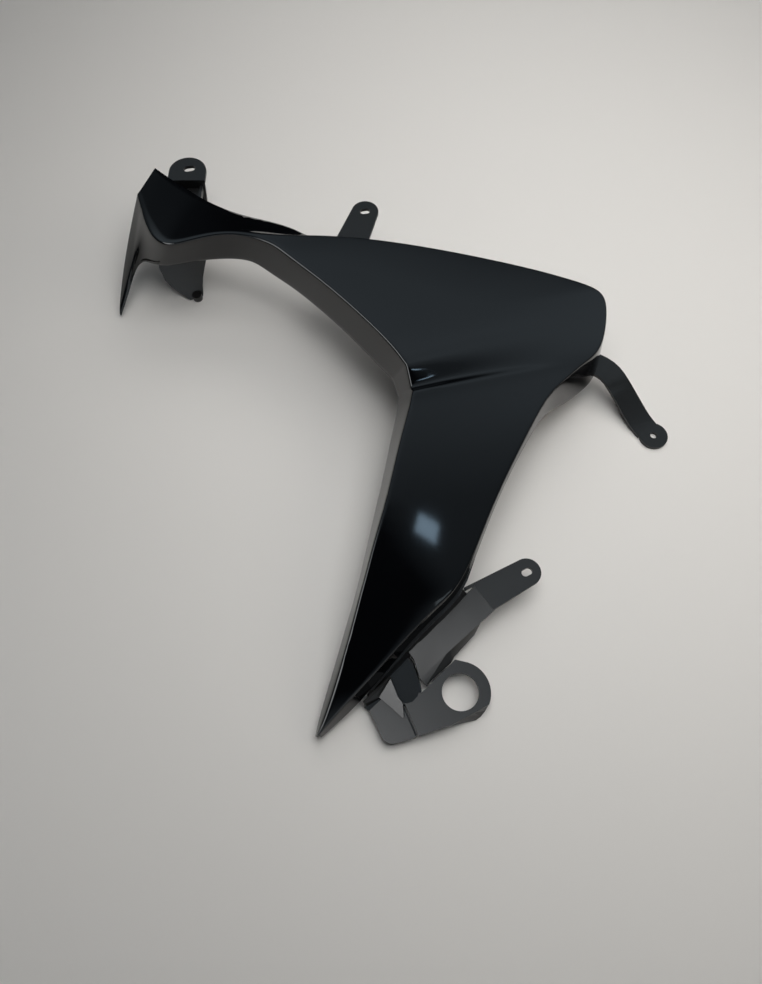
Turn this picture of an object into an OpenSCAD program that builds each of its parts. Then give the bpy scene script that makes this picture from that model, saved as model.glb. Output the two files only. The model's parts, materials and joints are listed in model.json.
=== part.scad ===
// Motorcycle side fairing, lying outer face up as it rests on a table.
// A thin painted cover is lofted through four guide lines: the foot of its front wall,
// the front crease, the rear edge, and the lip of the turned-down edge. The unpainted
// mouldings under it follow the same guide lines, so they keep their seats.
// X runs along the fairing, Y across it, Z up. The origin is on the table, under the
// middle of the fairing.

/* [Cover] */
// Wall of the painted cover
cover_t = 2.5; // [2:0.1:3.5]
// Radius of the soft crease along the front
crease_r = 3; // [1.5:0.5:4]
// Radius where the cover turns down at its rear edge
edge_r = 2; // [1:0.5:3]
// Radius of the crown across the sail
crown_r = 900; // [600:50:1500]
// Depth of the valley that runs in from the knee
valley_depth = 4.5; // [2:0.5:7]
// How far the valley reaches across the sail, as a share of its width
valley_reach = 0.8; // [0.5:0.05:0.95]
// Step from the sail's edge down to the wing
wing_step = 4; // [1:0.5:5]

/* [Screw bosses] */
// Length of the bosses under the sail and leg
boss_h = 10; // [8:0.5:14]
// Extra length of the bosses under the wing
wing_boss_extra = 9; // [4:0.5:12]
// Outer diameter of a boss
boss_d = 9; // [8:0.5:10]
// Thread diameter of the tapping screws
screw_d = 4; // [3.5:0.1:4.2]
// Diameter of the pan heads
head_d = 8; // [7:0.2:9]
// Height of the pan heads
head_h = 2.6; // [2:0.1:3.2]
// Length of the screws under the head
screw_l = 10; // [9:0.5:12]
// Clearance between screw, hole and seat
fit = 0.15; // [0.1:0.05:0.3]

/* [Inner mouldings] */
// Wall of the inner mouldings
panel_t = 2.5; // [2:0.1:3]
// Width of the shelf under the rear edge
shelf_w = 26; // [22:1:30]

/* [Fixing tabs] */
// Thickness of the fixing tabs
tab_t = 3; // [2.5:0.1:4]
// Width of the fixing tabs
tab_w = 23; // [20:0.5:25]
// Length of the slots
slot_l = 9; // [7:0.5:11]
// Width of the slots
slot_w = 6; // [5:0.2:7]

/* [Rear arm] */
// Width of the arm
arm_w = 22; // [18:0.5:24]
// Thickness of the arm
arm_t = 3; // [2.5:0.1:4]
// Hole at the arm's end
arm_hole_d = 6; // [5:0.2:7]

/* [Lower bracket] */
// Hole in the ring
ring_hole_d = 28; // [24:1:32]
// Width of the ring round its hole
ring_rim = 9; // [6:0.5:11]
// Height of the ring's upper face above the table
ring_z = 12; // [10:0.5:14]
// Thickness of the bracket's plates
plate_t = 3; // [2.5:0.1:4]

/* [Hidden] */
$fn = 48;
PAINT = [0.10, 0.10, 0.11];
MATTE = [0.26, 0.26, 0.27];

// Stations along the cover, from the claw's tip over the bridge, sail and knee to the
// tip of the leg. Each holds the foot of the front wall, the crease, the rear edge and
// the lip: a point under the wing, or the depth and flare of the turned-down edge.
stations = [
    [[-252.3, 124.5, 5], [-225, 207.5, 74], [-223, 210.5, 74.5], [-214.5, 244, 70]],
    [[-240.6, 137.5, 24], [-219.5, 192, 76], [-217.5, 197.5, 76.5], [-211.5, 241.5, 70]],
    [[-234.5, 150.5, 35], [-214.5, 177, 78], [-212.5, 183.5, 78.5], [-207, 237.5, 70]],
    [[-227.8, 158.4, 41], [-209, 163.5, 80], [-206, 171, 80.5], [-201, 232, 70.5]],
    [[-219, 154.5, 44], [-202, 149.5, 82], [-198.5, 157.5, 82.5], [-193.5, 225.5, 71]],
    [[-203, 142.5, 50], [-189.5, 137, 84], [-188.5, 142, 84.5], [-184, 218, 72]],
    [[-185, 142.5, 53], [-175.5, 137.5, 86], [-175, 141.5, 86.5], [-171.5, 207, 73]],
    [[-165, 145.5, 55], [-154, 144, 88], [-154.5, 147.5, 88.5], [-157.5, 196, 74.5]],
    [[-145.5, 146.5, 56], [-132, 145.5, 90], [-132, 148.5, 90.5], [-130.5, 180.5, 76]],
    [[-131.5, 146.5, 56], [-113, 141.5, 90.5], [-113, 145.5, 91], [-108.5, 174, 77]],
    [[-118.5, 144, 56], [-95, 134, 90.5], [-85.5, 144, 90.5], [-77.6, 162.7, 78.4]],
    [[-109, 137, 55.5], [-85.5, 125, 90.5], [-64, 144.5, 89.5], [6, 0.5]],
    [[-96, 126.5, 55], [-72, 113, 90], [-33, 144, 89], [6, 0.5]],
    [[-77.5, 113, 54], [-51.5, 95, 89], [14.5, 139, 87], [7, 0.5]],
    [[-55.5, 92, 53], [-29, 73, 88], [70.5, 130, 83], [8, 0.5]],
    [[-35, 71.5, 52], [-8.5, 51, 86.5], [130.5, 118, 78], [10, 0.8]],
    [[-16.5, 50, 50.5], [3.5, 36.5, 86], [170.5, 107.5, 73], [14, 1.5]],
    [[-7, 39.5, 50], [11, 26.5, 85], [192, 100, 70.5], [20, 2.5]],
    [[1, 29.5, 49.5], [16, 18.5, 84.5], [191, 78, 68.5], [28, 3.5]],
    [[7, 21.5, 49], [18.5, 13.5, 83.5], [186, 53.5, 67], [36, 5]],
    [[10.5, 12.5, 48], [22, 2.5, 82], [177.5, 37, 67], [38, 6]],
    [[11.5, 3.5, 47], [24, -8, 80.5], [163.5, 26.5, 68], [40, 6.5]],
    [[10.5, -7, 46], [20.5, -19.5, 79], [148.5, 11.5, 69], [36, 6]],
    [[6, -25.5, 44], [15, -39.5, 76], [133, -2.5, 70], [22, 4]],
    [[1.5, -50.5, 41], [9, -63.5, 72], [118, -30, 69], [11, 2]],
    [[-5, -80, 37], [2, -95, 66], [98, -67, 65], [8, 1.5]],
    [[-12, -110.5, 32], [-7, -123, 60], [82, -99.5, 60], [8, 1.5]],
    [[-19, -143, 27], [-13.5, -149, 54], [68, -134, 54], [8.5, 2]],
    [[-24, -162.5, 23], [-18.5, -165.5, 49.5], [54.5, -160.5, 49], [9, 2.5]],
    [[-29.5, -180, 20], [-22.5, -181.5, 44], [36, -174, 45], [9, 3]],
    [[-36, -203.5, 16], [-29, -203.5, 37], [12.5, -197.5, 38], [10, 3.5]],
    [[-42.5, -225.5, 12], [-35.5, -224.5, 29], [-11.5, -223.5, 30], [13, 4.5]],
    [[-48.5, -245, 7], [-42.5, -245, 21], [-31.5, -242.5, 22], [13, 4.5]],
    [[-51, -259.5, 6], [-49, -259.5, 14], [-47.5, -259.5, 14.5], [8, 1.5]]
];
last = len(stations) - 1;
knee = 20;      // station in the middle of the knee
wing_end = 10;  // last station that has a wing

function unit(v) = v / norm(v);
function mix(a, b, t) = a + (b - a) * t;
function plan(v) = [v.x, v.y, 0];
function left_of(v) = unit([-v.y, v.x, 0]);

// Smooth curve along the stations: a uniform cubic B-spline that ends on its end points
function curve(g, s) =
    let (n = len(g) - 1, i = max(0, min(floor(s), n - 1)), t = s - i,
         a = i == 0 ? 2 * g[0] - g[1] : g[i - 1],
         d = i + 2 > n ? 2 * g[n] - g[n - 1] : g[i + 2])
    (a * (1 - t) ^ 3 + g[i] * (3 * t ^ 3 - 6 * t ^ 2 + 4)
     + g[i + 1] * (-3 * t ^ 3 + 3 * t ^ 2 + 3 * t + 1) + d * t ^ 3) / 6;
function heading(g, s) =
    unit(curve(g, min(s + 0.05, len(g) - 1)) - curve(g, max(s - 0.05, 0)));

// Two folds cross the front wall at the knee, at these places along the stations. The wall
// is flat between them, and the curves ease into them from a reach on each side.
fold_a = knee - 1.4;
fold_b = knee + 0.8;
fold_reach = 1.6;
foot_folds = [[6.4, 23.9, 49.2], [12.1, 6.3, 47.3]];
crease_folds = [[17.8, 15.8, 84.0], [23.2, -7.0, 81.2]];
function ease(t) = t * t * (3 - 2 * t);
function folded(g, ends, s) =
    let (before = (s - fold_a + fold_reach) / fold_reach, after = (fold_b + fold_reach - s) / fold_reach)
    before <= 0 || after <= 0 ? curve(g, s)
    : before < 1 ? mix(curve(g, s), mix(curve(g, fold_a - fold_reach), ends[0], before), ease(before))
    : after < 1 ? mix(curve(g, s), mix(curve(g, fold_b + fold_reach), ends[1], after), ease(after))
    : mix(ends[0], ends[1], (s - fold_a) / (fold_b - fold_a));
function foot_at(s) = folded(foot, foot_folds, s);
function crease_at(s) = folded(crease, crease_folds, s);

foot = [for (r = stations) r[0]];
crease = [for (r = stations) r[1]];
edge = [for (r = stations) r[2]];
function outward(i) = left_of(plan(edge[min(i + 1, last)] - edge[max(i - 1, 0)]));
lip = [for (i = [0 : last])
    let (l = stations[i][3])
    len(l) == 3 ? l : edge[i] + outward(i) * l[1] - [0, 0, l[0]]];
// A line a little way down the turned edge, which makes the step beside the wing
fold = [for (i = [0 : last])
    i <= wing_end ? mix(edge[i], lip[i], 0.15) - [0, 0, i == wing_end ? wing_step : 0]
                  : mix(edge[i], lip[i], 0.5)];

// Depth of the valley at one place on the face: it falls slowly from the first fold and
// climbs steeply to the second
valley_low = 0.78;
function valley(s, v) =
    let (x = (s - fold_a) / (fold_b - fold_a))
    x <= 0 || x >= 1 || v >= valley_reach ? 0
    : valley_depth * (1 - v / valley_reach) ^ 1.3
        * (x < valley_low ? sin(90 * x / valley_low) : cos(90 * (x - valley_low) / (1 - valley_low))) ^ 2;
function crown(a, b, v) = v * (1 - v) * norm(b - a) ^ 2 / (2 * crown_r);

// Outward normals of the wall, the face and the turned-down edge, and the direction
// in which a corner between two of them moves when both move in by one
function wall_n(s) = unit(cross(heading(crease, s), crease_at(s) - foot_at(s)));
function face_n(s, g) = unit(cross(heading(g, s), curve(edge, s) - crease_at(s)));
function hem_n(s) = unit(cross(heading(edge, s), curve(lip, s) - curve(edge, s)));
function mitre(a, b) = (a + b) / (1 + a * b);

// The five guide points of a section, moved in under the outer face by a depth
function guides(s, depth) = [
    foot_at(s) - depth * wall_n(s),
    crease_at(s) - depth * mitre(wall_n(s), face_n(s, crease)) - [0, 0, valley(s, 0)],
    curve(edge, s) - depth * mitre(face_n(s, edge), hem_n(s)),
    curve(fold, s) - depth * hem_n(s),
    curve(lip, s) - depth * hem_n(s)
];

// A rounded corner at b, between a and c
function corner(a, b, c, r) =
    let (q = min(r, 0.45 * norm(b - a), 0.45 * norm(c - b)),
         p = b + unit(a - b) * q, n = b + unit(c - b) * q)
    [for (t = [0, 0.33, 0.67, 1]) p * (1 - t) ^ 2 + b * 2 * t * (1 - t) + n * t ^ 2];

wall_cells = 4;
face_cells = 9;
hem_cells = 3;
// How far the middle of the claw's outer end bows out
claw_bow = [-3.6, -1, -3];
function bow(s, t) = claw_bow * max(0, 1 - s) * 4 * t * (1 - t);
function section(s, depth) =
    let (g = guides(s, depth),
         c = corner(g[0], g[1], g[2], max(crease_r - depth, 0.4)),
         e = corner(g[1], g[2], g[3], max(edge_r - depth, 0.4)),
         w = norm(g[2] - g[1]))
    concat(
        [for (k = [0 : wall_cells - 1]) let (t = k / wall_cells) mix(g[0], c[0], t) + bow(s, t)],
        c,
        [for (k = [1 : face_cells - 1])
            let (p = mix(c[3], e[0], k / face_cells), v = norm(p - g[1]) / w)
            p + [0, 0, crown(g[1], g[2], v) - valley(s, v) + valley(s, 0) * (1 - k / face_cells)]],
        e,
        [for (k = [0 : hem_cells - 1]) mix(g[3], g[4], k / (hem_cells - 1))]);

// Closed solid between two grids of points that share their rows and columns
module skin(outer, inner) {
    n = len(outer);
    m = len(outer[0]);
    points = concat([for (row = outer) each row], [for (row = inner) each row]);
    function at(i, j) = i * m + j;
    function under(i, j) = n * m + i * m + j;
    faces = concat(
        [for (i = [0 : n - 2], j = [0 : m - 2]) each [
            [at(i, j), at(i, j + 1), at(i + 1, j + 1)],
            [at(i, j), at(i + 1, j + 1), at(i + 1, j)],
            [under(i, j), under(i + 1, j + 1), under(i, j + 1)],
            [under(i, j), under(i + 1, j), under(i + 1, j + 1)]]],
        [for (i = [0 : n - 2]) each [
            [at(i, 0), at(i + 1, 0), under(i + 1, 0)],
            [at(i, 0), under(i + 1, 0), under(i, 0)],
            [at(i, m - 1), under(i + 1, m - 1), at(i + 1, m - 1)],
            [at(i, m - 1), under(i, m - 1), under(i + 1, m - 1)]]],
        [for (j = [0 : m - 2]) each [
            [at(0, j), under(0, j + 1), at(0, j + 1)],
            [at(0, j), under(0, j), under(0, j + 1)],
            [at(n - 1, j), at(n - 1, j + 1), under(n - 1, j + 1)],
            [at(n - 1, j), under(n - 1, j + 1), under(n - 1, j)]]]);
    polyhedron(points, faces);
}

// Solid of even thickness under a grid of points: each point moves in along the mitre of
// the cells on its two sides
module sheet(grid, thick) {
    function cell(i, j) = unit(cross(grid[i + 1][j] - grid[i][j], grid[i][j + 1] - grid[i][j]));
    function sunk(i, j) = let (r = min(i, len(grid) - 2))
        grid[i][j] - thick * mitre(cell(r, max(j - 1, 0)), cell(r, min(j, len(grid[0]) - 2)));
    skin(grid, [for (i = [0 : len(grid) - 1]) [for (j = [0 : len(grid[0]) - 1]) sunk(i, j)]]);
}

// Places along the cover where a section is taken, closer together at the knee
cuts = concat([for (i = [0 : last - 1], k = [0 : 2 + (abs(i + 0.5 - knee) < 2 ? 2 : 0)])
    i + k / (3 + (abs(i + 0.5 - knee) < 2 ? 2 : 0))], [last]);
function wall_at(s) = s > last - 1 ? cover_t * (1 - 0.75 * (s - last + 1)) : cover_t;

// Height of the shelf below the cover's inner face, deeper under the wing and where the
// rail passes under the lip at the end of the leg
tip_drop = 3;
function boss_len(s) = boss_h + wing_boss_extra * max(0, min(1, (wing_end + 2 - s) / 2))
    + tip_drop * max(0, min(1, s - 29.8));

// Places on the outer face: across the sail or leg, and across the wing
function width(s) = norm(curve(edge, s) - crease_at(s));
function face(s, v) =
    let (a = crease_at(s), b = curve(edge, s))
    mix(a, b, v) + [0, 0, crown(a, b, v) - valley(s, v)];
function from_edge(s, inset) = face(s, max(1 - inset / width(s), 0.3));
function wing(s, q) = mix(curve(fold, s), curve(lip, s), q);

// Screw places: the point on the outer face, its normal, the length of the boss, and
// the mouldings that the screw holds
wing_spots = [for (s = [5.2, 8.2]) [wing(s, 0.5), hem_n(s), boss_len(s), 1]];
sail_spots = [for (s = [12.6, 14]) [from_edge(s, 18), face_n(s, edge), boss_len(s), 1]];
rear_spots = [for (s = [19, 22.6, 25.2]) [from_edge(s, 16), face_n(s, edge), boss_len(s), 1]];
leg_spots = [for (s = [28.3, 30]) [from_edge(s, 12), face_n(s, edge), boss_len(s), 2]];
front_spots = concat(wing_spots, sail_spots);
back_spots = concat(rear_spots, leg_spots);
pad_t = panel_t + 1;
pad_d = boss_d + 4;
function seat_z(spot) = spot[0].z - cover_t - spot[2];

module along_normal(n) rotate([0, acos(n.z), atan2(n.y, n.x)]) children();

// A boss that grows from the cover's inner face, cut off inside the wall
module boss(spot) {
    reach = spot[2] + 3 * cover_t;
    intersection() {
        translate([spot[0].x, spot[0].y, seat_z(spot)]) cylinder(d = boss_d, h = reach);
        translate(spot[0] - spot[1] * cover_t / 2) along_normal(spot[1])
            translate([-reach, -reach, -2 * reach]) cube(2 * reach);
    }
}
module pilot(spot)
    translate([spot[0].x, spot[0].y, seat_z(spot) - 1])
        cylinder(d = screw_d + 2 * fit, h = screw_l - pad_t + 2);

// Pad under a boss, then the room that the boss, the screw and its head need
module pad(spot, layer)
    translate([spot[0].x, spot[0].y, seat_z(spot) - fit - pad_t * (layer + 1) - fit * layer])
        cylinder(d = pad_d, h = pad_t);
module pad_room(spot, layer) {
    top = seat_z(spot) - fit - (pad_t + fit) * layer;
    translate([spot[0].x, spot[0].y, top]) cylinder(d = pad_d + 2 * fit, h = 6 + 3 * layer);
    translate([spot[0].x, spot[0].y, top - pad_t - 1]) cylinder(d = screw_d + 4 * fit, h = pad_t + 2);
    translate([spot[0].x, spot[0].y, top - pad_t - 8]) cylinder(d = pad_d + 2 * fit, h = 8);
}
module screw(spot) {
    top = seat_z(spot) - fit - (pad_t + fit) * spot[3];
    grip = (pad_t + fit) * (spot[3] - 1);
    translate([spot[0].x, spot[0].y, top - head_h]) cylinder(d = head_d, h = head_h);
    translate([spot[0].x, spot[0].y, top - 0.1]) cylinder(d = screw_d, h = screw_l + grip);
}

// Two lines of points joined by a strip of even thickness, cut at the given places
module strip(a, b, places, thick) {
    top = [for (s = places) [curve(a, s), (curve(a, s) + curve(b, s)) / 2, curve(b, s)]];
    skin(top, [for (row = top) [for (p = row) p - [0, 0, thick]]]);
}
module rib(a, b, places, depth, thick) {
    top = [for (s = places) let (p = curve(a, s) - [0, 0, thick / 3])
        [p, p + unit(curve(b, s) - curve(a, s)) * thick]];
    skin(top, [for (row = top) [for (p = row) p - [0, 0, depth]]]);
}

module cover_shell() {
    skin([for (s = cuts) section(s, 0)], [for (s = cuts) section(s, wall_at(s))]);
}

module outer_cover() color(PAINT) difference() {
    union() {
        cover_shell();
        for (spot = concat(front_spots, back_spots)) boss(spot);
    }
    for (spot = concat(front_spots, back_spots)) pilot(spot);
}

// Shelf of the front moulding, from under the claw to under the sail
front_first = 3;
front_last = 15;
front_steps = [for (s = [0 : 0.5 : front_last - front_first]) s];
function below(p, s) = p - [0, 0, cover_t + boss_len(s)];
front_near = [for (i = [front_first : front_last])
    below(i <= wing_end ? wing(i, 0.15) : from_edge(i, min(30, 0.7 * width(i))), i)];
front_far = [for (i = [front_first : front_last])
    below(i <= wing_end ? wing(i, 0.85) : from_edge(i, 6), i)];

// Top tab: a slotted ear that reaches out from under the sail's upper edge
top_tab = [-16.4, 184.5, 76];
top_tab_turn = 71.6;
top_tab_root = [[-54, tab_w / 2 + 3.5], [-54, -tab_w / 2 - 3.5]];
module slot(l, w) union() {
    square([l - w, w], center = true);
    for (side = [-1, 1]) translate([side * (l - w) / 2, 0]) circle(d = w);
}
module ear(w, root, slot_turn)
    difference() {
        union() {
            circle(d = w);
            polygon(concat([[0, w / 2], [0, -w / 2]], [for (i = [len(root) - 1 : -1 : 0]) root[i]]));
        }
        rotate(slot_turn) slot(slot_l, slot_w);
    }

// Upper tab: a wide ear on a post that stands up from the shelf
post_x = -183.8;
post_y = 240;
post_w = 32;
post_top = 62;
post_low = 34;
post_taper = 3;
upper_tab = [-186.5, post_y + 8.8];
upper_tab_w = 35.4;
upper_slot = upper_tab + [1.5, 3.2];
upper_slot_l = slot_l + 2;
upper_slot_w = slot_w + 0.8;
module upper_post() {
    base = curve(front_far, 2.2);
    translate([0, 0, post_top - tab_t]) linear_extrude(tab_t) difference() {
        union() {
            intersection() {
                translate(upper_tab) circle(d = upper_tab_w);
                translate([upper_tab.x - upper_tab_w, post_y - tab_t]) square(2 * upper_tab_w);
            }
            translate([upper_tab.x - upper_tab_w / 2, post_y - tab_t])
                square([upper_tab_w, upper_tab.y - post_y + tab_t]);
        }
        translate(upper_slot) rotate(13) slot(upper_slot_l, upper_slot_w);
    }
    left = post_x - post_w / 2;
    right = post_x + post_w / 2 - 1.5;
    root = base.y - 8;
    translate([0, post_y, 0]) rotate([90, 0, 0]) linear_extrude(tab_t)
        polygon([[left, post_low], [right - post_taper, post_low], [right, post_top - 0.5], [left, post_top - 0.5]]);
    for (x = [left, right - post_taper - panel_t])
        translate([x, root, base.z - panel_t]) cube([panel_t, post_y - root - 0.5, 6]);
    translate([left, root, base.z - panel_t]) cube([right - post_taper - left, post_y - root - 0.5, panel_t]);
}

// Fin: a web from the front of the shelf down to a foot on the table
fin_rows = [
    [[-204, 182, 56.5], [-160, 172, 58]],
    [[-217, 159, 26], [-166, 166, 34]],
    [[-201, 150.5, 9], [-174, 160, 16]],
    [[-187, 146, 0], [-175.5, 151, 0]]
];
fin_foot_d = 9;
module fin() {
    shift = [0, panel_t, 0];
    front = [for (t = [0 : 0.5 : 3])
        [for (u = [0 : 0.25 : 1]) let (a = curve([for (r = fin_rows) r[0]], t),
            b = curve([for (r = fin_rows) r[1]], t)) mix(a, b, u)]];
    skin(front, [for (row = front) [for (p = row) p + shift]]);
    translate([-180, 148, 0]) cylinder(d = fin_foot_d, h = 6);
}

module front_inner_panel() color(MATTE) difference() {
    union() {
        strip(front_near, front_far, front_steps, panel_t);
        rib(front_near, front_far, front_steps, 6, 2);
        for (spot = front_spots) pad(spot, 0);
        upper_post();
        fin();
        translate([top_tab.x, top_tab.y, top_tab.z - tab_t]) linear_extrude(tab_t)
            rotate(top_tab_turn) ear(tab_w + 1, top_tab_root, -61);
    }
    for (spot = front_spots) pad_room(spot, 0);
}

// Shelf of the rear moulding, under the rear edge of the sail and leg
rear_first = 18;
rear_last = 31;
rear_steps = [for (s = [0 : 0.5 : rear_last - rear_first]) s];
// Inset of the shelf's outer line from the cover's edge: it shows as a rail on the leg
rail = [for (i = [rear_first : rear_last]) i <= 25 ? 5 : i == 26 ? 2 : i == 27 ? -2.5 : -5];
rear_near = [for (i = [rear_first : rear_last]) below(from_edge(i, shelf_w), i)];
rear_far = [for (i = [rear_first : rear_last])
    below(edge[i] - outward(i) * rail[i - rear_first], i)];

// Rear arm: a strap that comes out under the sail's corner and bends down to the table
arm_z = 28;
arm_line = [
    [160, 64, arm_z], [176, 60, arm_z], [189, 54.5, arm_z], [199.6, 48, 27], [206.5, 40.5, 23],
    [214, 31, 16.5], [221.8, 20, 9.5], [229, 8.5, 4.5], [235, 0.5, arm_t]
];
arm_end = [239.6, -4.6];
arm_end_d = 25;
module arm() {
    places = [0 : 0.5 : len(arm_line) - 1];
    top = [for (s = places) let (p = curve(arm_line, s), n = left_of(plan(heading(arm_line, s))))
        [p + n * arm_w / 2, p - n * arm_w / 2]];
    skin([for (row = top) [row[1], row[0]]], [for (row = top) [row[1], row[0]] - [[0, 0, arm_t], [0, 0, arm_t]]]);
    translate([arm_end.x, arm_end.y, 0]) cylinder(d = arm_end_d, h = arm_t);
}

// Wall that joins the rear shelf to the root of the arm, inside the cover's return
module arm_wall() {
    inset = cover_t + 2.5;
    places = [19 : 0.25 : 21.5];
    function at(s, d) = curve(edge, s) - left_of(plan(heading(edge, s))) * d;
    function column(s, d) =
        [plan(at(s, d)) + [0, 0, at(s, d).z - cover_t - boss_h - panel_t / 2],
         plan(at(s, d)) + [0, 0, arm_z - arm_t / 2]];
    skin([for (s = places) column(s, inset)], [for (s = places) column(s, inset + panel_t)]);
}

module rear_inner_panel() color(MATTE) difference() {
    union() {
        strip(rear_near, rear_far, rear_steps, panel_t);
        rib(rear_near, rear_far, rear_steps, 6, 2);
        for (spot = back_spots) pad(spot, 0);
        arm_wall();
        arm();
    }
    for (spot = back_spots) pad_room(spot, 0);
    translate([arm_end.x, arm_end.y, -1]) cylinder(d = arm_hole_d, h = arm_t + 2);
}

// Lower bracket: a flange under the rear shelf, a wall down to a ramp with a sloping flank,
// a slotted tab at the ramp's head, a pocket at its foot, a ring plate, and a foot plate
// that a groove parts from the ring plate
ring = [57.8, -228.3];
ring_r = ring_hole_d / 2 + ring_rim;
foot_plate_z = ring_z - plate_t - 0.6;
low_tab = [112.9, -137.9];
low_tab_z = 24;
low_tab_turn = 27.5;
// Root of the tab, in its own directions from its slot: the fold to the ramp, and a lug
// that runs on beside the ramp
low_tab_root = [[-50.5, 11.9], [-50.5, 9.6], [-42.5, 9.6], [-39, -13.9]];
function on_tab(x, y, z) = [low_tab.x, low_tab.y, z]
    + x * [cos(low_tab_turn), sin(low_tab_turn), 0] + y * [-sin(low_tab_turn), cos(low_tab_turn), 0];
drop = [0, 0, -(panel_t + fit)];
flange_near = [for (i = [rear_first : rear_last]) below(from_edge(i, 14), i) + drop];
flange_far = [for (p = rear_far) p + drop];

// Three lines along the ramp, from under the tab's fold to the pocket
ramp_head = [on_tab(-40.5, 10.2, low_tab_z - 0.2), on_tab(-40, 4.8, low_tab_z - 0.15),
    on_tab(-37, -14, low_tab_z - 0.2)];
ramp_tail = [[19.2, -199.4, 17], [23.1, -204.5, 16.5], [27.5, -218.1, 13]];
// Place on the ramp beside a station: 0 at the ramp's head, 1 at its tail
function beside(s) = lookup(s, [[27.4, 0], [28, 0.23], [29, 0.58], [30, 1.06], [31, 1.587]]);
function ramp(t, k) = mix(ramp_head[k], ramp_tail[k], t);
ramp_out = left_of(unit(plan(ramp_tail[2] - ramp_head[2])));
flank_low = ring_z - 1.5;
function flank(t) = plan(ramp(t, 2)) + ramp_out * lookup(t, [[0.2, -0.5], [0.3, 2.8], [0.6, 5], [0.66, 6.8]])
    + [0, 0, lookup(t, [[0.2, 14], [0.3, flank_low]])];
module flange_wall()
    sheet([for (s = concat([27.75], [for (i = [56 : 2 * rear_last]) i / 2])) let (t = beside(s))
        [curve(flange_near, s - rear_first), curve(flange_far, s - rear_first),
         plan(ramp(t, 0)) + [0.9, -0.9, t > 1 ? floor_z : ramp(t, 0).z - plate_t]]], panel_t);
module ramp_sheet() {
    sheet([for (t = [0, 0.2, 0.3, 0.6, 0.66, 1]) [ramp(t, 0), ramp(t, 1), ramp(t, 2), flank(t)]], panel_t);
    end = [for (q = [ramp(0.985, 0), ramp(0.985, 1), ramp(0.985, 2), flank(0.985)]) q - [0, 0, 0.8]];
    sheet([end, [for (q = end) plan(q) + [0, 0, floor_z]]], panel_t);
}

// Shoulder: a ridge beside the flange's wall, a steep face below it, and a facet that
// slopes down from the pocket's edge to the foot plate
floor_z = 2;
pocket_edge = [[15.5, -246.1], [14.8, -236.2], [11, -231.1], [8.1, -224], [5.8, -218.6]];
facet_foot = [[14.2, -246], [7, -239.4], [-1, -232.8], [-2.9, -231.4], [1.5, -225]];
facet_slope = 0.38;
function on_facet(q) =
    let (a = facet_foot[2], n = left_of(plan(facet_foot[2] - facet_foot[0])), d = plan(q - a) * -n)
    [q.x, q.y, foot_plate_z - 0.3 + facet_slope * max(d, 0)];
ridge = [[-13.9, -236.5, 10.5], [-4.1, -227.4, 12.8], [5.7, -218.1, 15.2]];
module shoulder() {
    sheet([ridge, [[-13.2, -238.4, floor_z + 1.6], [-2.9, -231.5, foot_plate_z - 0.2], on_facet([6.2, -218.9])]],
        panel_t);
    sheet([[for (q = pocket_edge) on_facet(q)], [for (q = facet_foot) on_facet(q)]], panel_t);
}

// Pocket: its wall follows the ring plate's edge and then the shoulder's
pocket_rim = concat([[26.5, -228.5, ring_z - 0.6], [25.4, -231.6, ring_z - 0.6], [21.5, -235.4, ring_z - 0.6],
    [17.6, -236.6, ring_z - 0.6]], [for (i = [1 : 4]) on_facet(pocket_edge[i]) - [0, 0, 0.4]]);
module pocket() {
    sheet([pocket_rim, [for (q = pocket_rim) plan(q) + [0, 0, floor_z]]], panel_t);
    translate([0, 0, floor_z + 0.3]) linear_extrude(panel_t)
        polygon([[29, -226], [27, -232.5], [22, -237], [17.5, -238.4], [11, -243], [1, -236],
            [-8, -243.5], [-14.5, -238.5], [-11.5, -229], [3, -213.5], [19.5, -196.8], [26, -212]]);
}

// Groove between the plates, in a channel of the same wall
groove_w = 2;
groove = [[14.9, -237.5], [25, -260.6]];
module along_groove(w, from_z, to_z, past)
    translate([groove[0].x, groove[0].y, from_z])
        rotate(atan2(groove[1].y - groove[0].y, groove[1].x - groove[0].x))
            translate([0, -w / 2]) cube([norm(groove[1] - groove[0]) + past, w, to_z - from_z]);

// Skirt that turns down from the ring plate's straight edge to the table
chord = [[50.4, -252.2], [78.9, -237.4]];
skirt_low = [[51.3, -251.4], [58.5, -249.8], [69.7, -247.4], [73.4, -244.9], [77.2, -240.5], [79.3, -237.2]];
module ring_skirt()
    sheet([[for (i = [0 : 5]) [each mix(chord[0], chord[1], i / 5), ring_z - 0.6]],
           [for (q = skirt_low) [each q, 1]]], 2);
module ring_plate()
    translate([0, 0, ring_z - plate_t]) linear_extrude(plate_t) difference() {
        union() {
            translate(ring) circle(r = ring_r);
            polygon([[25.2, -231.7], [21.5, -235.6], [17.6, -236.9], [15.4, -236.6], [26, -259.9],
                chord[0], chord[1], [63, -205.9], [54.7, -204]]);
        }
        polygon([chord[0], chord[1], chord[1] + [12, -20], chord[0] + [-1, -20]]);
        polygon([[54.7, -204], [25.2, -231.7], [15, -215], [45, -185]]);
    }
module foot_plate()
    translate([0, 0, foot_plate_z - plate_t]) linear_extrude(plate_t) union() {
        translate([6.8, -255.9]) circle(r = 9.2);
        polygon([[-10.6, -241.2], [-1.4, -260], [9.3, -264.8], [25.5, -260.3], [22, -248], [14.5, -237.5],
            [8, -237], [-1, -232.4]]);
    }

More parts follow.
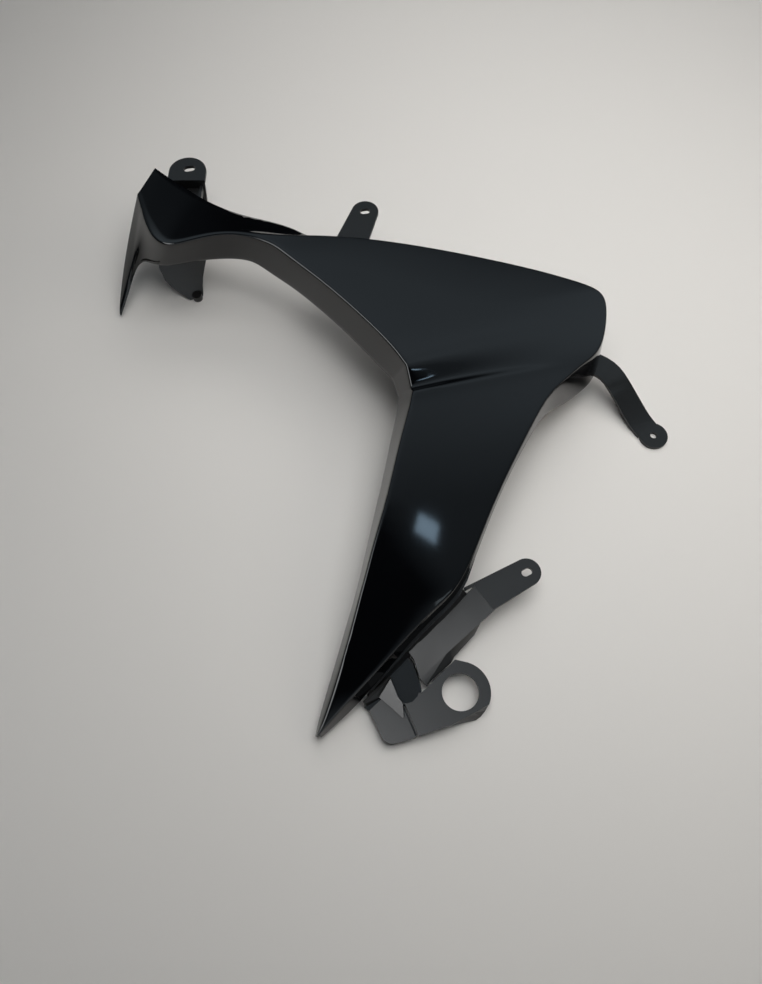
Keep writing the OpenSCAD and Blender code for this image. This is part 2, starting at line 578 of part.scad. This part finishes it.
module lower_bracket() color(MATTE) difference() {
    union() {
        flange_wall();
        for (spot = leg_spots) pad(spot, 1);
        ramp_sheet();
        pocket();
        shoulder();
        ring_skirt();
        ring_plate();
        foot_plate();
        along_groove(groove_w + 2 * panel_t, floor_z + 0.3, foot_plate_z - 0.2, -1.8);
        translate([low_tab.x, low_tab.y, low_tab_z - plate_t]) linear_extrude(plate_t)
            rotate(low_tab_turn) ear(tab_w - 0.5, low_tab_root, 0);
    }
    for (spot = leg_spots) pad_room(spot, 1);
    along_groove(groove_w, floor_z + 0.3 + panel_t, ring_z + 1, 4);
    translate([ring.x, ring.y, -1]) cylinder(d = ring_hole_d, h = 2 * ring_z);
}

module panel_screws() color([0.75, 0.76, 0.78]) for (spot = concat(front_spots, back_spots)) screw(spot);

outer_cover();
front_inner_panel();
rear_inner_panel();
lower_bracket();
panel_screws();
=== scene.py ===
"""Looks of a motorcycle side fairing that lies outer face up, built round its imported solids."""
import json
import math

import bpy
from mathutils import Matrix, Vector

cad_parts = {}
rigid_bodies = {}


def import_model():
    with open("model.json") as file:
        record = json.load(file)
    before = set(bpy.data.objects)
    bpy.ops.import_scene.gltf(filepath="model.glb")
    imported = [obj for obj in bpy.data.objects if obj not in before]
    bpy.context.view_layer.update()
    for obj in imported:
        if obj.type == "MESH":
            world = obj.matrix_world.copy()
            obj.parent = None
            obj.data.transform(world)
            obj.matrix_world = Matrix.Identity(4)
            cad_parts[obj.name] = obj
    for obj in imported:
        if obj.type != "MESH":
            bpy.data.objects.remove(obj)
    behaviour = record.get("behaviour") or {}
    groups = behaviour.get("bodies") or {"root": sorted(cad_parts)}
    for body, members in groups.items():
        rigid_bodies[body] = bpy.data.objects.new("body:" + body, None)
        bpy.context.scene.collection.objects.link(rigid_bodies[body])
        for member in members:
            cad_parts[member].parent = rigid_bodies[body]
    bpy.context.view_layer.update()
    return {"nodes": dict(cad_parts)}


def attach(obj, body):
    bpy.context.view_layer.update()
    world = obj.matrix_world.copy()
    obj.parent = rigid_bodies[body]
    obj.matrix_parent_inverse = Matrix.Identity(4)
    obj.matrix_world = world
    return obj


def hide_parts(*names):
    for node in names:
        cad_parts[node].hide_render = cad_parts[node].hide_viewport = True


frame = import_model()

# Camera: a phone held over the near side of the table, tipped from straight down towards
# the far edge. The picture is upright, so the sensor's 36 mm run along its height.
CAMERA_PLACE = (-0.002, -0.317, 0.581)
CAMERA_TIP = math.radians(24)
LENS = 27.04
SENSOR = 36
NEAREST_VIEW = 0.01
camera = bpy.data.objects.new("camera", bpy.data.cameras.new("camera"))
camera.data.lens = LENS
camera.data.sensor_width = SENSOR
camera.data.clip_start = NEAREST_VIEW
camera.location = CAMERA_PLACE
camera.rotation_euler = (CAMERA_TIP, 0, 0)
bpy.context.scene.collection.objects.link(camera)
bpy.context.scene.camera = camera

# Table: a plain pale board under the fairing, painted matt and a little warm. It ends just
# beyond the picture's top edge and runs far past the other three.
TABLE_WIDTH = 5
TABLE_FAR_EDGE = 0.72


def grained_finish(name, base, roughness, grain, strength, height, detail=4, metallic=0):
    """A material with a raised grain: its count per metre, its strength and its height in metres."""
    material = bpy.data.materials.new(name)
    material.use_nodes = True
    tree = material.node_tree
    shader = tree.nodes["Principled BSDF"]
    shader.inputs["Base Color"].default_value = (*base, 1)
    shader.inputs["Roughness"].default_value = roughness
    shader.inputs["Metallic"].default_value = metallic
    place = tree.nodes.new("ShaderNodeTexCoord")
    speckle = tree.nodes.new("ShaderNodeTexNoise")
    speckle.inputs["Scale"].default_value = grain
    speckle.inputs["Detail"].default_value = detail
    speckle.inputs["Roughness"].default_value = 0.55
    relief = tree.nodes.new("ShaderNodeBump")
    relief.inputs["Strength"].default_value = strength
    relief.inputs["Distance"].default_value = height
    tree.links.new(place.outputs["Object"], speckle.inputs["Vector"])
    tree.links.new(speckle.outputs["Fac"], relief.inputs["Height"])
    tree.links.new(relief.outputs["Normal"], shader.inputs["Normal"])
    return material


bpy.ops.object.select_all(action="DESELECT")
table_middle = TABLE_FAR_EDGE - TABLE_WIDTH / 2
bpy.ops.mesh.primitive_plane_add(size=TABLE_WIDTH, location=(0, table_middle, 0))
table = bpy.context.object
bpy.ops.object.transform_apply(location=True, rotation=False, scale=False)
table.name = "table"
table.data.materials.append(
    grained_finish("table_paint", (0.785, 0.77, 0.75), 0.55, grain=900, strength=0.15, height=0.0001))

# Room: what the lacquer mirrors, bright where its windows stand beyond the table's far edge,
# dim towards the floor, dark where the phone is held, and light on the wall behind that. It
# is in reflections only: it lights no matt surface, and the camera sees a plain grey instead.
DAYLIGHT = (1, 1.06, 1.1)
SKY_FROM_NEAR_TO_FAR = (
    (0.0, 0.03), (0.2, 0.12), (0.4, 0.13), (0.5, 0.17), (0.6, 0.34),
    (0.7, 0.5), (0.82, 0.4), (0.92, 0.1), (1.0, 0.03),
)
NEAR_WALL = ((0.0, 0.8), (0.12, 0.5), (0.2, 0.0))
DIM_BELOW = ((0.0, 0.1), (0.35, 0.3), (0.55, 1.0))
SHADE_MIDDLE = (-0.12, -0.30, 0.94)
SHADE_EDGE = ((0.27, 0.05), (0.36, 1.0))
BACKDROP = (0.5, 0.5, 0.49, 1)

bpy.context.scene.view_settings.view_transform = "Standard"
world = bpy.data.worlds.new("room")
world.use_nodes = True
world.cycles_visibility.diffuse = False
bpy.context.scene.world = world
room = world.node_tree
direction = room.nodes.new("ShaderNodeTexCoord").outputs["Generated"]


def room_ramp(source, stops):
    """Grey levels of daylight on a value from 0 to 1, from pairs of a value and a level."""
    ramp = room.nodes.new("ShaderNodeValToRGB")
    room.links.new(source, ramp.inputs["Fac"])
    stop_list = ramp.color_ramp.elements
    while len(stop_list) < len(stops):
        stop_list.new(0.5)
    for stop, (place, level) in zip(stop_list, stops):
        stop.position = place
        stop.color = (*(level * tint for tint in DAYLIGHT), 1)
    return ramp.outputs["Color"]


def room_mix(kind, first, second):
    """Two colours of the room put together in full."""
    mix = room.nodes.new("ShaderNodeMix")
    mix.data_type = "RGBA"
    mix.blend_type = kind
    mix.inputs["Factor"].default_value = 1
    room.links.new(first, mix.inputs["A"])
    room.links.new(second, mix.inputs["B"])
    return mix.outputs["Result"]


split = room.nodes.new("ShaderNodeSeparateXYZ")
room.links.new(direction, split.inputs["Vector"])
near_to_far = room.nodes.new("ShaderNodeMath")
near_to_far.operation = "MULTIPLY_ADD"
room.links.new(split.outputs["Y"], near_to_far.inputs[0])
near_to_far.inputs[1].default_value = 0.5
near_to_far.inputs[2].default_value = 0.5
from_shade = room.nodes.new("ShaderNodeVectorMath")
from_shade.operation = "DISTANCE"
room.links.new(direction, from_shade.inputs[0])
from_shade.inputs[1].default_value = SHADE_MIDDLE

sky = room_ramp(near_to_far.outputs["Value"], SKY_FROM_NEAR_TO_FAR)
sky = room_mix("MULTIPLY", sky, room_ramp(from_shade.outputs["Value"], SHADE_EDGE))
sky = room_mix("MULTIPLY", sky, room_ramp(split.outputs["Z"], DIM_BELOW))
sky = room_mix("ADD", sky, room_ramp(near_to_far.outputs["Value"], NEAR_WALL))
seen = room.nodes.new("ShaderNodeMix")
seen.data_type = "RGBA"
seen.inputs["B"].default_value = BACKDROP
room.links.new(room.nodes.new("ShaderNodeLightPath").outputs["Is Camera Ray"], seen.inputs["Factor"])
room.links.new(sky, seen.inputs["A"])
room.links.new(seen.outputs["Result"], room.nodes["Background"].inputs["Color"])


# Lamps: the daylight over the table comes from overhead and from the far and right windows.
# The others are there for their reflections: a window along the cover's folds, a patch of
# blue sky and a window pane on its leg, and a white card for the bracket's facets.
def lamp(name, place, aim, size, power, colour, mirrored=False):
    """A soft rectangular light that faces a point; a glossy piece mirrors it only if asked."""
    light = bpy.data.lights.new(name, "AREA")
    light.shape = "RECTANGLE"
    light.size, light.size_y = size
    light.energy = power
    light.color = colour
    holder = bpy.data.objects.new(name, light)
    holder.location = place
    holder.rotation_euler = (Vector(aim) - Vector(place)).to_track_quat("-Z", "Y").to_euler()
    holder.visible_glossy = mirrored
    bpy.context.scene.collection.objects.link(holder)
    return holder


lamp("overhead", place=(0.15, 0.06, 0.85), aim=(0.12, 0.06, 0), size=(0.7, 0.7),
     power=5.2, colour=(1, 0.99, 0.97))
lamp("far_window", place=(0.2, 0.8, 0.75), aim=(0.05, 0.1, 0), size=(0.8, 0.4),
     power=2.5, colour=(1, 0.985, 0.96))
lamp("right_window", place=(0.8, 0.05, 0.65), aim=(0.1, 0, 0), size=(0.5, 0.4),
     power=1.6, colour=(1, 0.95, 0.88))
left_window = lamp("left_window", place=(-1.5, -0.35, 1.3), aim=(0, 0, 0), size=(1.3, 0.9),
                   power=14, colour=(0.97, 0.99, 1), mirrored=True)
left_window.visible_diffuse = False
lamp("skylight", place=(0.26, -0.2, 1.45), aim=(0.02, -0.11, 0.06), size=(0.07, 0.11),
     power=0.13, colour=(0.55, 0.78, 1), mirrored=True)
lamp("near_pane", place=(0.465, -0.75, 1.24), aim=(0.045, -0.165, 0.05), size=(0.2, 0.2),
     power=0.14, colour=(0.8, 0.93, 1), mirrored=True)
bracket_card = lamp("bracket_card", place=(-0.21, -0.42, 0.85), aim=(0.06, -0.19, 0.02),
                    size=(0.35, 0.35), power=6, colour=(1, 1, 1), mirrored=True)

# Outer cover: one thin moulding, lacquered to a deep gloss outside and left bare inside. Its
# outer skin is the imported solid's, up to the sharp rims, smoothed and given its wall again.
COVER_WALL = 0.0025
RIM_ROUND = 0.0004
RIM_LIMIT = math.radians(60)
SKIN_LIMIT = math.radians(50)
SMOOTH_LIMIT = math.radians(40)
MERGE_REACH = 0.000002


def only(piece):
    """Select one object alone and make it the active one."""
    for other in bpy.context.scene.objects:
        other.select_set(False)
    piece.select_set(True)
    bpy.context.view_layer.objects.active = piece


def merged_copy(node, name):
    """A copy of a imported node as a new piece, with its loose triangles merged."""
    piece = bpy.data.objects.new(name, frame["nodes"][node].data.copy())
    piece.data.materials.clear()
    bpy.context.scene.collection.objects.link(piece)
    only(piece)
    bpy.ops.object.mode_set(mode="EDIT")
    bpy.ops.mesh.select_all(action="SELECT")
    bpy.ops.mesh.remove_doubles(threshold=MERGE_REACH)
    bpy.ops.mesh.select_all(action="DESELECT")
    bpy.ops.object.mode_set(mode="OBJECT")
    return piece


def modify(piece, kind, **settings):
    """Add a modifier with these settings and apply it."""
    modifier = piece.modifiers.new(kind.lower(), kind)
    for name, value in settings.items():
        setattr(modifier, name, value)
    only(piece)
    bpy.ops.object.modifier_apply(modifier=modifier.name)


lacquer = grained_finish("black_lacquer", (0.0012, 0.0014, 0.002), 0.07,
                         grain=260, strength=0.01, height=0.0002, detail=2)
plastic = grained_finish("moulded_plastic", (0.007, 0.0071, 0.0073), 0.4,
                         grain=2600, strength=0.2, height=0.00008)

cover = merged_copy("outer_cover", "painted_cover")
cover.data.materials.append(lacquer)
cover.data.materials.append(plastic)
top_face = max(cover.data.polygons, key=lambda face: face.center.z * face.normal.z)
top_face.select = True
bpy.ops.object.mode_set(mode="EDIT")
bpy.ops.mesh.select_mode(type="FACE")
bpy.ops.mesh.faces_select_linked_flat(sharpness=SKIN_LIMIT)
bpy.ops.mesh.select_all(action="INVERT")
bpy.ops.mesh.delete(type="FACE")
bpy.ops.mesh.select_all(action="SELECT")
bpy.ops.mesh.tris_convert_to_quads(face_threshold=math.pi, shape_threshold=math.pi)
bpy.ops.object.mode_set(mode="OBJECT")
modify(cover, "SUBSURF", levels=2, render_levels=2, boundary_smooth="PRESERVE_CORNERS")
modify(cover, "SOLIDIFY", thickness=COVER_WALL, offset=-1, use_even_offset=True, material_offset=1)
modify(cover, "BEVEL", width=RIM_ROUND, segments=2, limit_method="ANGLE", angle_limit=RIM_LIMIT)
only(cover)
bpy.ops.object.shade_smooth_by_angle(angle=SMOOTH_LIMIT)
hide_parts("outer_cover")
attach(cover, "root")

# Screw bosses: nine hollow posts moulded on the back of the cover, bare black plastic. They
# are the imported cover's own, found round the screws' axes by their steep and downward faces,
# and their open tops are lifted a little, so that they run into the finished wall.
BOSS_RADIUS = 0.0046
BOSS_SINK = 0.0008
BOSS_STEEPNESS = 0.3
screws = frame["nodes"]["panel_screws"]
corners_by_screw = {}
for vertex in screws.data.vertices:
    first = min(corners_by_screw, key=lambda at: (at - vertex.co).xy.length, default=None)
    if first is None or (first - vertex.co).xy.length > 2 * BOSS_RADIUS:
        first = vertex.co.copy().freeze()
        corners_by_screw[first] = []
    corners_by_screw[first].append(vertex.co)
axes = [sum(corners, Vector()) / len(corners) for corners in corners_by_screw.values()]

bosses = merged_copy("outer_cover", "screw_bosses")
for face in bosses.data.polygons:
    by_a_screw = any((face.center - axis).xy.length < BOSS_RADIUS for axis in axes)
    face.select = by_a_screw and face.normal.z < BOSS_STEEPNESS
only(bosses)
bpy.ops.object.mode_set(mode="EDIT")
bpy.ops.mesh.select_mode(type="FACE")
bpy.ops.mesh.select_all(action="INVERT")
bpy.ops.mesh.delete(type="FACE")
bpy.ops.mesh.select_mode(type="EDGE")
bpy.ops.mesh.select_non_manifold(extend=False)
bpy.ops.transform.translate(value=(0, 0, BOSS_SINK))
bpy.ops.mesh.fill_holes(sides=0)
bpy.ops.object.mode_set(mode="OBJECT")
only(bosses)
bpy.ops.object.shade_smooth_by_angle(angle=SMOOTH_LIMIT)
bosses.data.materials.append(plastic)
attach(bosses, "root")

# Inner mouldings: the front and rear panels and the lower bracket, black plastic as it comes
# from the mould, with a fine matt grain and small radii on every edge. The floor of the
# bracket's pocket gets a darker, glossier black: painted shade for the deep pocket.
EDGE_ROUND = 0.0005
EDGE_LIMIT = math.radians(24)
FACET_LIMIT = math.radians(18)
FLAT_LIMIT = math.radians(1)
POCKET_FLOOR = 0.006
FACING_UP = 0.5
# A darker black with a lower roughness for the floor of the bracket's pocket: painted shade for the
# deep pocket.
pocket_shade = grained_finish("pocket_shade_plastic", (0.002, 0.002, 0.0022), 0.12,
                          grain=400, strength=0.05, height=0.0001, detail=2)
matt_pieces = bpy.data.collections.new("matt_pieces")
bracket_card.light_linking.receiver_collection = matt_pieces
for node in ("front_inner_panel", "rear_inner_panel", "lower_bracket"):
    piece = merged_copy(node, node + "_moulding")
    modify(piece, "DECIMATE", decimate_type="DISSOLVE", angle_limit=FLAT_LIMIT)
    modify(piece, "BEVEL", width=EDGE_ROUND, segments=2, limit_method="ANGLE", angle_limit=EDGE_LIMIT)
    only(piece)
    bpy.ops.object.shade_smooth_by_angle(angle=FACET_LIMIT)
    modify(piece, "WEIGHTED_NORMAL", keep_sharp=True)
    piece.data.materials.append(plastic)
    if node == "lower_bracket":
        matt_pieces.objects.link(piece)
        piece.data.materials.append(pocket_shade)
        # The pocket's floor faces take the darker black, which is painted shade.
        for face in piece.data.polygons:
            if face.center.z < POCKET_FLOOR and face.normal.z > FACING_UP:
                face.material_index = 1
    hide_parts(node)
    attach(piece, "root")

# Screws: nine tapping screws of zinc-plated steel, driven up from below through the inner
# mouldings into the bosses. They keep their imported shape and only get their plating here.
zinc = grained_finish("zinc_plate", (0.55, 0.56, 0.58), 0.35,
                      grain=1500, strength=0.1, height=0.0001, metallic=1)
screws.data.materials.clear()
screws.data.materials.append(zinc)
